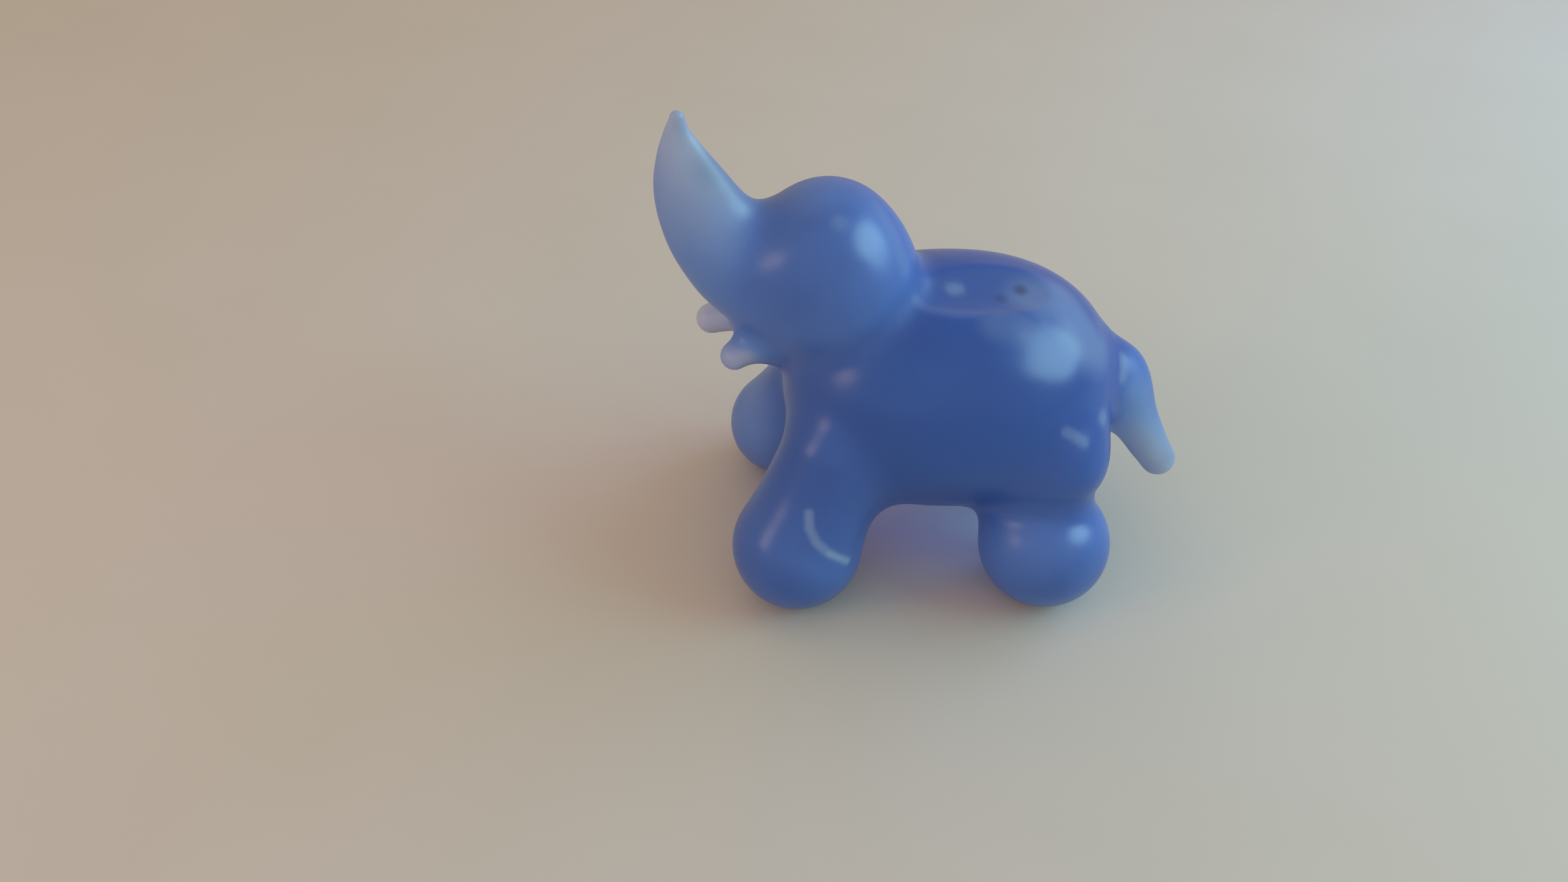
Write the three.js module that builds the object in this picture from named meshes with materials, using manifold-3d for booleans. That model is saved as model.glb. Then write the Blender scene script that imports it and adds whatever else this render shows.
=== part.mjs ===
// A small elephant of milky blue glass, worked hot at a lamp. Ten gathers of glass are welded
// together: body, head, raised trunk, two tusks, four stub legs and a tail.
// Millimetres, +Z up, the face towards -X. The origin is on the floor under the middle of the
// bounding box. The animal's own left side is -Y.

import * as THREE from 'three';
import { mergeVertices } from 'three/addons/utils/BufferGeometryUtils.js';
import Module from 'manifold-3d';

const wasm = await Module();
wasm.setup();

// Body: a barrel with fuller ends than an ellipsoid
const bodyLength = 22.8;
const bodyWidth = 17.9;
const bodyHeight = 17.8;
const bodyFullnessShare = 2.25; // power of the barrel's outline, where 2 is an ellipse
const bellyClearance = 4.85;

// Back mark: the shallow oval dish where the holding rod was broken off and melted smooth
const markWidth = 4.5;
const markDepth = 0.45; // how far its floor sags below its two long edges
const markBallLength = 60; // the long oval ball that presses it
const markBehind = 1.4; // the dish's middle, behind the middle of the body
const markTilt = 12.3; // degrees that it leans towards the animal's left side
const markTurn = 11; // degrees that its rear end turns towards the right side
const markFall = 5.3; // degrees that it falls towards the tail

// Head: an upright ball on a short neck, with a small rounded muzzle
const headLength = 10.3;
const headWidth = 10.2;
const headHeight = 11.2;
const headAhead = 8.45; // head's middle, ahead of the middle of the body
const headAbove = 9.3; // head's middle, above the middle of the body
const neckRadius = 4.7;
const neckBehind = 1.45; // neck's middle, behind the middle of the head
const neckBelow = 2.6; // neck's middle, below the middle of the head
const muzzleRadius = 2.55;
const muzzleAhead = 3.2; // muzzle's middle, ahead of the middle of the head
const muzzleBelow = 4.9; // muzzle's middle, below the middle of the head
const muzzleWaistRadius = 12;

// Trunk: a broad horn, drawn forward and up out of the face
const trunkReach = 9.4; // the tip, ahead of the middle of the head
const trunkRise = 10.1; // the tip, above the middle of the head
const trunkRootRadius = 3.95;
const trunkReachShares = [0.2, 0.53, 0.74, 0.858, 0.932, 0.972, 0.986, 0.98];
const trunkRiseShares = [-0.1, -0.03, 0.18, 0.39, 0.59, 0.77, 0.897, 0.985];
const trunkRadiusShares = [1, 0.925, 0.82, 0.715, 0.572, 0.375, 0.21, 0.12];
const trunkWidthShares = [1, 0.95, 0.82, 0.68, 0.58, 0.55, 0.6, 0.8]; // its width over its depth

// Tusks: two blunt nubs under the trunk, the right one drawn out further
const tuskRootRadius = 1.35;
const tuskRootAhead = 0.5; // the roots' middles, ahead of the middle of the muzzle
const tuskRootAsideShare = 0.5; // the roots' middles, aside of it, over the muzzle's radius
const tuskSpread = 4.8; // between the two tips' middles
const leftTuskTipRadius = 0.95;
const leftTuskAhead = 2.9; // a tip's middle, ahead of the middle of the muzzle
const leftTuskDrop = 0.85; // a tip's middle, below the middle of the muzzle
const rightTuskTipRadius = 1.05;
const rightTuskAhead = 4.7;
const rightTuskDrop = 1.1;
const tusks = [
  { name: 'tusk_left', side: -1, radius: leftTuskTipRadius, ahead: leftTuskAhead, drop: leftTuskDrop },
  { name: 'tusk_right', side: 1, radius: rightTuskTipRadius, ahead: rightTuskAhead, drop: rightTuskDrop },
];

// Legs: a foot ball each, melted up into a smaller ball at the shoulder or the hip. Their places
// are from the middle of the body.
const footPadRadius = 1.25; // the flat that each foot stands on
const frontLeftRadius = 4.55;
const frontLeftAhead = 10.3;
const frontLeftAside = 7.05;
const frontRightRadius = 4.1;
const frontRightAhead = 11.45;
const frontRightAside = 7.2;
const rearLeftRadius = 4.55;
const rearLeftBehind = 7.05;
const rearLeftAside = 6.65;
const rearRightRadius = 4.4;
const rearRightBehind = 7.2;
const rearRightAside = 6.75;
const shoulderRadius = 3.85;
const shoulderAhead = 7.6;
const shoulderAside = 5.0;
const shoulderBelow = 2.6;
const frontWaistRadius = 30; // a large radius leaves nearly no waist
const hipRadius = 3.75;
const hipBehind = 6.95;
const hipAside = 5.2;
const hipBelow = 2.5;
const rearWaistRadius = 2.4;
const shoulder = {
  radius: shoulderRadius, waist: frontWaistRadius,
  ahead: shoulderAhead, aside: shoulderAside, below: shoulderBelow,
};
const hip = {
  radius: hipRadius, waist: rearWaistRadius,
  ahead: -hipBehind, aside: hipAside, below: hipBelow,
};
const legs = [
  {
    name: 'leg_front_left', side: -1, top: shoulder,
    radius: frontLeftRadius, ahead: frontLeftAhead, aside: frontLeftAside,
  },
  {
    name: 'leg_front_right', side: 1, top: shoulder,
    radius: frontRightRadius, ahead: frontRightAhead, aside: frontRightAside,
  },
  {
    name: 'leg_rear_left', side: -1, top: hip,
    radius: rearLeftRadius, ahead: -rearLeftBehind, aside: rearLeftAside,
  },
  {
    name: 'leg_rear_right', side: 1, top: hip,
    radius: rearRightRadius, ahead: -rearRightBehind, aside: rearRightAside,
  },
];

// Tail: a stub that leaves the rump broad and hangs back, with a round end
const tailReach = 16.15; // the end's middle, behind the middle of the body
const tailDrop = 7.2; // the end's middle, below the middle of the body
const tailRootRadius = 3.65;
const tailReachShares = [0.6, 0.708, 0.842, 0.943, 1];
const tailDropShares = [0.02, 0.1, 0.46, 0.81, 1];
const tailRadiusShares = [1, 0.9, 0.5, 0.385, 0.345];
const tailWidthShares = [0.8, 0.8, 0.95, 1, 1];

// Weld line: the thin groove that parts one gather from the next
const weldGap = 0.3;
const cutOverrunShare = 2; // how far a cutting block reaches, over the body's length

// Facet counts
const bodyRings = 22;
const bodySides = 36;
const ballRings = 16;
const ballSides = 28;
const legArcSteps = 8;
const legSides = 24;
const waistSteps = 4;
const drawnSides = 20;
const drawnSteps = 18;
const drawnEndSteps = 4;

const glassColours = {
  body: 0x2f4c8c,
  head: 0x46629a,
  trunk: 0x7c8ca8,
  tusk: 0x8e92a4,
  leg: 0x45619c,
  tail: 0x5d7fb0,
};

const bodyCentre = new THREE.Vector3(0, 0, bellyClearance + bodyHeight / 2);
const headCentre = bodyCentre.clone().add(new THREE.Vector3(-headAhead, 0, headAbove));
const neckCentre = headCentre.clone().add(new THREE.Vector3(neckBehind, 0, -neckBelow));
const muzzleCentre = headCentre.clone().add(new THREE.Vector3(-muzzleAhead, 0, -muzzleBelow));

// Turns a closed three.js geometry into a solid: merges shared corners, drops empty triangles
function solidOf(geometry) {
  const bare = geometry.clone();
  bare.deleteAttribute('normal');
  bare.deleteAttribute('uv');
  const merged = mergeVertices(bare);
  const corners = [];
  for (let i = 0; i < merged.index.count; i += 3) {
    const [a, b, c] = [0, 1, 2].map((k) => merged.index.getX(i + k));
    if (a !== b && b !== c && c !== a) corners.push(a, b, c);
  }
  return new wasm.Manifold(new wasm.Mesh({
    numProp: 3,
    vertProperties: new Float32Array(merged.attributes.position.array),
    triVerts: new Uint32Array(corners),
  }));
}

// Turns a solid back into a geometry whose zero is the given anchor point
function geometryOf(solid, anchor) {
  const mesh = solid.getMesh();
  const geometry = new THREE.BufferGeometry();
  geometry.setAttribute('position', new THREE.BufferAttribute(mesh.vertProperties, mesh.numProp));
  geometry.setIndex(new THREE.BufferAttribute(mesh.triVerts, 1));
  geometry.translate(-anchor.x, -anchor.y, -anchor.z);
  geometry.computeVertexNormals();
  return geometry;
}

// Points on an arc of a profile, from one angle to another, as distance from the axis and height
function arcPoints(radius, height, startAngle, endAngle, steps) {
  const points = [];
  for (let i = 0; i <= steps; i += 1) {
    const angle = THREE.MathUtils.lerp(startAngle, endAngle, i / steps);
    points.push(new THREE.Vector2(radius * Math.cos(angle), height + radius * Math.sin(angle)));
  }
  return points;
}

function closeOnAxis(points) {
  points[0].x = 0;
  points[points.length - 1].x = 0;
  return points;
}

// Two balls of glass melted together, from one centre to the other. The waist between them is
// an arc that touches both, and a large waist radius makes it nearly straight.
function skittle(start, startRadius, end, endRadius, waistRadius, grow) {
  const span = end.clone().sub(start);
  const length = span.length();
  const waist = Math.max(waistRadius - grow, weldGap);
  const startReach = startRadius + grow + waist;
  const endReach = endRadius + grow + waist;
  const waistHeight = (startReach ** 2 - endReach ** 2 + length ** 2) / (2 * length);
  const waistAside = Math.sqrt(startReach ** 2 - waistHeight ** 2);
  const startTouch = Math.atan2(waistHeight, waistAside);
  const endTouch = Math.atan2(waistHeight - length, waistAside);
  const waistArc = arcPoints(waist, waistHeight, Math.PI + startTouch, Math.PI + endTouch, waistSteps);
  for (const point of waistArc) point.x += waistAside;
  const profile = closeOnAxis([
    ...arcPoints(startRadius + grow, 0, -Math.PI / 2, startTouch, legArcSteps),
    ...waistArc.slice(1, -1),
    ...arcPoints(endRadius + grow, length, endTouch, Math.PI / 2, legArcSteps),
  ]);
  const geometry = new THREE.LatheGeometry(profile, legSides);
  const turn = new THREE.Quaternion().setFromUnitVectors(new THREE.Vector3(0, 1, 0), span.normalize());
  geometry.applyQuaternion(turn);
  geometry.translate(start.x, start.y, start.z);
  return solidOf(geometry);
}

// An oval ball
function ball(centre, length, width, height, grow) {
  const geometry = new THREE.SphereGeometry(1, ballSides, ballRings);
  geometry.rotateX(Math.PI / 2);
  geometry.scale(length / 2 + grow, width / 2 + grow, height / 2 + grow);
  geometry.translate(centre.x, centre.y, centre.z);
  return solidOf(geometry);
}

// A solid drawn out along a curve through the stations, with a round end at each end.
// Its depth lies in the XZ plane, and widthShares set its width along Y.
function drawnOut(stations, radii, widthShares, grow) {
  const route = new THREE.CatmullRomCurve3(stations);
  const table = (values) => new THREE.CatmullRomCurve3(values.map((v, i) => new THREE.Vector3(i, v, 0)));
  const radiusCurve = table(radii);
  const widthCurve = table(widthShares);
  const aside = new THREE.Vector3(0, 1, 0);
  const positions = [];
  const faces = [];
  const addRing = (t, along, share) => {
    const centre = route.getPoint(t);
    const forward = route.getTangent(t);
    const across = new THREE.Vector3().crossVectors(aside, forward).normalize();
    const depth = radiusCurve.getPoint(t).y + grow;
    const width = radiusCurve.getPoint(t).y * widthCurve.getPoint(t).y + grow;
    centre.addScaledVector(forward, along * depth);
    for (let i = 0; i < drawnSides; i += 1) {
      const angle = (i / drawnSides) * 2 * Math.PI;
      const point = centre.clone()
        .addScaledVector(across, Math.cos(angle) * depth * share)
        .addScaledVector(aside, Math.sin(angle) * width * share);
      positions.push(...point.toArray());
    }
  };
  const addPole = (t, along) => {
    const depth = radiusCurve.getPoint(t).y + grow;
    positions.push(...route.getPoint(t).addScaledVector(route.getTangent(t), along * depth).toArray());
  };

  addPole(0, -1);
  for (let i = drawnEndSteps - 1; i > 0; i -= 1) {
    const angle = (i / drawnEndSteps) * (Math.PI / 2);
    addRing(0, -Math.sin(angle), Math.cos(angle));
  }
  for (let i = 0; i <= drawnSteps; i += 1) addRing(i / drawnSteps, 0, 1);
  for (let i = 1; i < drawnEndSteps; i += 1) {
    const angle = (i / drawnEndSteps) * (Math.PI / 2);
    addRing(1, Math.sin(angle), Math.cos(angle));
  }
  addPole(1, 1);

  const rings = (positions.length / 3 - 2) / drawnSides;
  const last = positions.length / 3 - 1;
  const corner = (ring, side) => 1 + ring * drawnSides + (side % drawnSides);
  for (let side = 0; side < drawnSides; side += 1) {
    faces.push(0, corner(0, side + 1), corner(0, side));
    for (let ring = 0; ring < rings - 1; ring += 1) {
      faces.push(corner(ring, side), corner(ring, side + 1), corner(ring + 1, side + 1));
      faces.push(corner(ring, side), corner(ring + 1, side + 1), corner(ring + 1, side));
    }
    faces.push(last, corner(rings - 1, side), corner(rings - 1, side + 1));
  }
  const geometry = new THREE.BufferGeometry();
  geometry.setAttribute('position', new THREE.Float32BufferAttribute(positions, 3));
  geometry.setIndex(faces);
  return solidOf(geometry);
}

// Barrel of the body, without its back mark
function barrelSolid(grow) {
  const profile = [];
  const roundPower = 2 / bodyFullnessShare;
  for (let i = 0; i <= bodyRings; i += 1) {
    const angle = THREE.MathUtils.lerp(-Math.PI / 2, Math.PI / 2, i / bodyRings);
    const along = Math.sign(angle) * Math.abs(Math.sin(angle)) ** roundPower;
    profile.push(new THREE.Vector2(Math.max(Math.cos(angle), 0) ** roundPower, along));
  }
  const geometry = new THREE.LatheGeometry(closeOnAxis(profile), bodySides);
  geometry.rotateZ(-Math.PI / 2);
  geometry.scale(bodyLength / 2 + grow, bodyWidth / 2 + grow, bodyHeight / 2 + grow);
  geometry.translate(bodyCentre.x, bodyCentre.y, bodyCentre.z);
  return solidOf(geometry);
}

// Height of the cap that a chord cuts off a circle
function capHeight(radius, chord) {
  return radius - Math.sqrt(radius ** 2 - (chord / 2) ** 2);
}

// Body: the barrel, less an oval ball that leaves the shallow dish
function bodySolid() {
  const crown = bodyHeight / 2;
  const floor = crown - capHeight(crown, markWidth) - markDepth;
  const radius = markWidth ** 2 / (8 * markDepth) + markDepth / 2;
  const dish = new THREE.SphereGeometry(1, ballSides, ballRings);
  dish.rotateX(Math.PI / 2);
  dish.scale(markBallLength / 2, radius, radius);
  dish.translate(0, 0, radius);
  dish.rotateY(THREE.MathUtils.degToRad(markFall));
  dish.rotateZ(THREE.MathUtils.degToRad(markTurn));
  dish.translate(markBehind, 0, floor);
  dish.rotateX(THREE.MathUtils.degToRad(markTilt));
  dish.translate(bodyCentre.x, bodyCentre.y, bodyCentre.z);
  return barrelSolid(0).subtract(solidOf(dish));
}

function headSolid(grow) {
  return ball(headCentre, headLength, headWidth, headHeight, grow)
    .add(ball(neckCentre, 2 * neckRadius, 2 * neckRadius, 2 * neckRadius, grow))
    .add(skittle(headCentre, headWidth / 2, muzzleCentre, muzzleRadius, muzzleWaistRadius, grow));
}

function trunkSolid(grow) {
  const stations = trunkReachShares.map((reachShare, i) => headCentre.clone()
    .add(new THREE.Vector3(-reachShare * trunkReach, 0, trunkRiseShares[i] * trunkRise)));
  const radii = trunkRadiusShares.map((share) => share * trunkRootRadius);
  return drawnOut(stations, radii, trunkWidthShares, grow);
}

function tuskSolid(tusk) {
  const root = muzzleCentre.clone()
    .add(new THREE.Vector3(-tuskRootAhead, tusk.side * tuskRootAsideShare * muzzleRadius, 0));
  const tip = muzzleCentre.clone()
    .add(new THREE.Vector3(-tusk.ahead, (tusk.side * tuskSpread) / 2, -tusk.drop));
  return skittle(root, tuskRootRadius, tip, tusk.radius, muzzleWaistRadius, 0);
}

function tailSolid() {
  const stations = tailReachShares.map((reachShare, i) => bodyCentre.clone()
    .add(new THREE.Vector3(reachShare * tailReach, 0, -tailDropShares[i] * tailDrop)));
  const radii = tailRadiusShares.map((share) => share * tailRootRadius);
  return drawnOut(stations, radii, tailWidthShares, 0);
}

// Everything under the floor, for the flats that the feet stand on
function underFloor() {
  const reach = bodyLength * cutOverrunShare;
  const geometry = new THREE.BoxGeometry(reach, reach, reach);
  geometry.translate(0, 0, -reach / 2);
  return solidOf(geometry);
}

function footCentre(leg) {
  const height = Math.sqrt(leg.radius ** 2 - footPadRadius ** 2);
  return new THREE.Vector3(-leg.ahead, leg.side * leg.aside, height);
}

function legSolid(leg) {
  const { top } = leg;
  const crest = bodyCentre.clone()
    .add(new THREE.Vector3(-top.ahead, leg.side * top.aside, -top.below));
  return skittle(footCentre(leg), leg.radius, crest, top.radius, top.waist, 0)
    .subtract(underFloor());
}

const figure = new THREE.Group();

function addGather(name, solid, anchor, colour) {
  const material = new THREE.MeshStandardMaterial({ color: colour, roughness: 0.12, metalness: 0 });
  const mesh = new THREE.Mesh(geometryOf(solid, anchor), material);
  mesh.name = name;
  mesh.position.copy(anchor);
  figure.add(mesh);
}

const bodyCut = barrelSolid(weldGap);
const headCut = headSolid(weldGap);
const trunkCut = trunkSolid(weldGap);

addGather('body', bodySolid(), bodyCentre, glassColours.body);
addGather('head', headSolid(0).subtract(bodyCut), headCentre, glassColours.head);
addGather('trunk', trunkSolid(0).subtract(headCut).subtract(bodyCut), headCentre, glassColours.trunk);
for (const tusk of tusks) {
  const solid = tuskSolid(tusk).subtract(headCut).subtract(trunkCut).subtract(bodyCut);
  addGather(tusk.name, solid, muzzleCentre, glassColours.tusk);
}
for (const leg of legs) {
  addGather(leg.name, legSolid(leg).subtract(bodyCut), footCentre(leg), glassColours.leg);
}
addGather('tail', tailSolid().subtract(bodyCut), bodyCentre, glassColours.tail);

// Stands the origin on the floor, under the middle of the bounding box
figure.updateMatrixWorld(true);
const bounds = new THREE.Box3().setFromObject(figure, true);
figure.position.set(-(bounds.min.x + bounds.max.x) / 2, -(bounds.min.y + bounds.max.y) / 2, -bounds.min.z);
figure.updateMatrixWorld(true);

export default figure;
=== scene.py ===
# A small elephant of milky blue glass, made at a lamp from ten gathers that are welded together.
# Sizes are written in millimetres and turned into metres by mm, in the same frame as the CAD model:
# +Z up, the face towards -X, the animal's left side towards -Y.
import math

import bpy
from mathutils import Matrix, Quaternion, Vector
from mathutils.bvhtree import BVHTree
from mathutils.kdtree import KDTree


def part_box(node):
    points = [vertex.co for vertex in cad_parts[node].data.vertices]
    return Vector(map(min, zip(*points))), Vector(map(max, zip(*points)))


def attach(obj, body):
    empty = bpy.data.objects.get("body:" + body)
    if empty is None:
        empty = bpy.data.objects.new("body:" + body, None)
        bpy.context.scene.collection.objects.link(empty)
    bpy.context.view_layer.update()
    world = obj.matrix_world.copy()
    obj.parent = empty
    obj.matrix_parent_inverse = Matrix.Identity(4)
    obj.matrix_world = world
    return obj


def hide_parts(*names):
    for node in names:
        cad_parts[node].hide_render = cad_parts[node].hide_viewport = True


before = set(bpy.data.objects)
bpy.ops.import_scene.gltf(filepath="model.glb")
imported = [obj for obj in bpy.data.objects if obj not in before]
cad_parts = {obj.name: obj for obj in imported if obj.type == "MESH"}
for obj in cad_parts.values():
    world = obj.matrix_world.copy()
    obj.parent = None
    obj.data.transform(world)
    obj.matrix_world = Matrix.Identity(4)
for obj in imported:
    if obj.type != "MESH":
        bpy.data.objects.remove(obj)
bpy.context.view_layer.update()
mm = 0.001
print("frame loaded:", len(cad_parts), "nodes")

grain = 0.3 * mm  # side of one face of the finished glass
leastSides = 24  # of a drawn piece
poleStop = math.radians(87)  # where a round end's last ring lies before it closes
pulls = 5  # how often a vertex is drawn to the skin that it has to lie on
touching = 0.0001 * mm  # nearer than this, a skin's own normal is the way out of it


def only(piece):
    bpy.ops.object.select_all(action="DESELECT")
    piece.select_set(True)
    bpy.context.view_layer.objects.active = piece


def openMesh(piece, picked=None):
    # goes into edit mode with the vertices of the given numbers selected, or all of them
    only(piece)
    bpy.ops.object.mode_set(mode="EDIT")
    bpy.ops.mesh.select_mode(type="VERT")
    bpy.ops.mesh.select_all(action="SELECT" if picked is None else "DESELECT")
    if picked is not None:
        bpy.ops.object.mode_set(mode="OBJECT")
        for i in picked:
            piece.data.vertices[i].select = True
        bpy.ops.object.mode_set(mode="EDIT")


def closeMesh():
    bpy.ops.object.mode_set(mode="OBJECT")


def applyModifier(piece, kind, **settings):
    only(piece)
    modifier = piece.modifiers.new(kind.lower(), kind)
    for key, value in settings.items():
        setattr(modifier, key, value)
    bpy.ops.object.modifier_apply(modifier=modifier.name)


def settle(piece):
    # puts the piece's place and turn into its mesh
    only(piece)
    bpy.ops.object.transform_apply(location=True, rotation=True, scale=True)


def sidesFor(radius):
    return max(leastSides, 4 * round(2 * math.pi * radius / grain / 4))


def smoothStep(low, high, value):
    t = min(max((value - low) / (high - low), 0), 1)
    return t * t * (3 - 2 * t)


def skinOf(piece):
    return BVHTree.FromObject(piece, bpy.context.evaluated_depsgraph_get())


def signedGap(skin, place, reach):
    # distance to a skin, negative inside it, and the way out; None beyond reach
    near, normal, face, distance = skin.find_nearest(place, reach)
    if near is None:
        return None
    if (place - near).dot(normal) < 0:
        distance = -distance
    away = (place - near) / distance if abs(distance) > touching else normal
    return distance, away


def blended(gap, other, fillet):
    # the two skins as one, with the crease between them filled
    a, wayA = gap
    b, wayB = other
    soft = max(fillet - abs(a - b), 0) / fillet
    lean = soft / 2 if a < b else 1 - soft / 2
    return min(a, b) - soft * soft * fillet / 4, wayA * (1 - lean) + wayB * lean


# Drawing glass out

def ringAt(middle, tilt, depth, width):
    return {"middle": Vector(middle), "tilt": tilt, "depth": depth, "width": width}


def drawOut(name, rings, sides):
    # one circle, extruded ring by ring: each is moved on, turned about Y and sized, and both ends close
    bpy.ops.object.select_all(action="DESELECT")
    bpy.ops.mesh.primitive_circle_add(vertices=sides, radius=grain, location=(0, 0, 0))
    piece = bpy.context.object
    piece.name = piece.data.name = name
    openMesh(piece)
    last = ringAt((0, 0, 0), 0, grain, grain)
    for i, ring in enumerate(rings):
        step = ring["middle"] - last["middle"]
        if i:
            bpy.ops.mesh.extrude_edges_move(TRANSFORM_OT_translate={"value": step})
        else:
            bpy.ops.transform.translate(value=step)
        turn = last["tilt"] - ring["tilt"]  # with no window the operator turns the other way
        if abs(turn) > 1e-6:
            bpy.ops.transform.rotate(value=turn, orient_axis="Y", center_override=ring["middle"])
        deeper, wider = ring["depth"] / last["depth"], ring["width"] / last["width"]
        bpy.ops.transform.resize(value=(deeper, wider, deeper), center_override=ring["middle"])
        last = ring
    bpy.ops.mesh.extrude_edges_move()
    bpy.ops.mesh.merge(type="CENTER")
    closeMesh()
    openMesh(piece, range(sides))
    bpy.ops.mesh.extrude_edges_move()
    bpy.ops.mesh.merge(type="CENTER")
    bpy.ops.mesh.select_all(action="SELECT")
    bpy.ops.mesh.normals_make_consistent(inside=False)
    closeMesh()
    return piece


def arcSteps(radius, start, end):
    # places on an arc of a profile, as distance along the axis and from it
    count = max(2, round(abs(end - start) * radius / grain))
    angles = [start + (end - start) * i / count for i in range(count + 1)]
    return [(radius * math.sin(a), radius * math.cos(a)) for a in angles]


def skittle(name, start, startRadius, end, endRadius, waistRadius):
    # two balls of glass melted into one, with a waist that is an arc touching both
    length = (end - start).length
    startReach, endReach = startRadius + waistRadius, endRadius + waistRadius
    waistAlong = (startReach**2 - endReach**2 + length**2) / (2 * length)
    waistAside = math.sqrt(startReach**2 - waistAlong**2)
    startTouch = math.atan2(waistAlong, waistAside)
    endTouch = math.atan2(waistAlong - length, waistAside)
    waist = arcSteps(waistRadius, startTouch, endTouch)
    profile = arcSteps(startRadius, -poleStop, startTouch)
    profile += [(waistAlong - along, waistAside - out) for along, out in waist][1:-1]
    profile += [(length + along, out) for along, out in arcSteps(endRadius, endTouch, poleStop)]
    rings = [ringAt((0, 0, along), 0, out, out) for along, out in profile]
    piece = drawOut(name, rings, sidesFor(max(startRadius, endRadius)))
    piece.rotation_mode = "QUATERNION"
    piece.rotation_quaternion = (end - start).to_track_quat("Z", "Y")
    piece.location = start
    settle(piece)
    return piece


def throughShares(shares, t):
    # the value of a smooth curve through the shares, at t from 0 to 1
    place = t * (len(shares) - 1)
    i = min(int(place), len(shares) - 2)
    u = place - i
    before = shares[max(i - 1, 0)] if i else 2 * shares[0] - shares[1]
    after = shares[i + 2] if i + 2 < len(shares) else 2 * shares[-1] - shares[-2]
    a, b = shares[i], shares[i + 1]
    slopeA, slopeB = (b - before) / 2, (after - a) / 2
    bend = 2 * u**3 - 3 * u**2 + 1
    return bend * a + (1 - bend) * b + (u**3 - 2 * u**2 + u) * slopeA + (u**3 - u**2) * slopeB


def horn(name, look, base, reachSign, riseSign):
    # glass pulled out along a bent line in the XZ plane, with a round end at each end
    def middleAt(t):
        x = reachSign * throughShares(look["reachShares"], t) * look["reach"]
        z = riseSign * throughShares(look["riseShares"], t) * look["rise"]
        return base + Vector((x, 0, z))

    def tiltAt(t):
        tiny = 1e-3
        forward = middleAt(min(t + tiny, 1)) - middleAt(max(t - tiny, 0))
        return math.atan2(forward.x, forward.z)

    spans = 50  # short enough to measure the line by
    length = sum((middleAt((i + 1) / spans) - middleAt(i / spans)).length for i in range(spans))
    steps = round(length / grain)
    tilts = [tiltAt(i / steps) for i in range(steps + 1)]
    for turn in range(look["easing"]):
        tilts = [(tilts[max(i - 1, 0)] + tilts[i] + tilts[min(i + 1, steps)]) / 3 for i in range(steps + 1)]

    def ringOn(i, along, share):
        depth = throughShares(look["radiusShares"], i / steps) * look["rootRadius"]
        width = depth * throughShares(look["widthShares"], i / steps)
        forward = Vector((math.sin(tilts[i]), 0, math.cos(tilts[i])))
        return ringAt(middleAt(i / steps) + forward * along * depth, tilts[i], depth * share, width * share)

    endSteps = look["endSteps"]
    angles = [poleStop * i / endSteps for i in range(endSteps, 0, -1)]
    rings = [ringOn(0, -math.sin(a), math.cos(a)) for a in angles]
    rings += [ringOn(i, 0, 1) for i in range(steps + 1)]
    rings += [ringOn(steps, math.sin(a), math.cos(a)) for a in reversed(angles)]
    return drawOut(name, rings, sidesFor(look["rootRadius"] * max(look["radiusShares"])))


# Body: a barrel with fuller ends than an ellipsoid, and a shallow dish in its back

bodyLook = {
    "height": 17.8 * mm,
    "fullness": 2.25,  # power of the barrel's outline, where 2 is an ellipse
    "markWidth": 4.5 * mm,
    "markDepth": 0.45 * mm,
    "markBallLength": 60 * mm,
    "markBehind": 1.4 * mm,
    "markTilt": math.radians(12.3),
    "markTurn": math.radians(11),
    "markFall": math.radians(5.3),
    "markRim": 0.12 * mm,  # how softly the dish's edge is melted
    "markFade": (-0.25, 1.6),  # in rims from the edge: where the dish's colour starts and is full
}
bodyLow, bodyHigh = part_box("body")
bodyMid = (bodyLow + bodyHigh) / 2
bodyMid.z = bodyLow.z + bodyLook["height"] / 2


def makeBody(look):
    halfLength = (bodyHigh.x - bodyLow.x) / 2
    halfWidth = (bodyHigh.y - bodyLow.y) / 2
    halfHeight = look["height"] / 2
    steps = round(math.pi * halfLength / grain)
    rings = []
    for i in range(steps + 1):
        angle = poleStop * (2 * i / steps - 1)
        along = math.copysign(abs(math.sin(angle)) ** (2 / look["fullness"]), angle)
        out = math.cos(angle) ** (2 / look["fullness"])
        middle = bodyMid + Vector((along * halfLength, 0, 0))
        rings.append(ringAt(middle, math.pi / 2, out * halfHeight, out * halfWidth))
    return drawOut("blue_glass_body", rings, sidesFor(halfHeight))


def markPlace(look):
    # the middle of the dish's floor, from the body's middle, and how the dish lies
    crown = look["height"] / 2
    edgeHeight = math.sqrt(crown**2 - look["markWidth"] ** 2 / 4)
    lean = Quaternion((1, 0, 0), look["markTilt"])
    middle = lean @ Vector((look["markBehind"], 0, edgeHeight - look["markDepth"]))
    fall = Quaternion((0, 1, 0), look["markFall"])
    return middle, lean @ Quaternion((0, 0, 1), look["markTurn"]) @ fall


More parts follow.
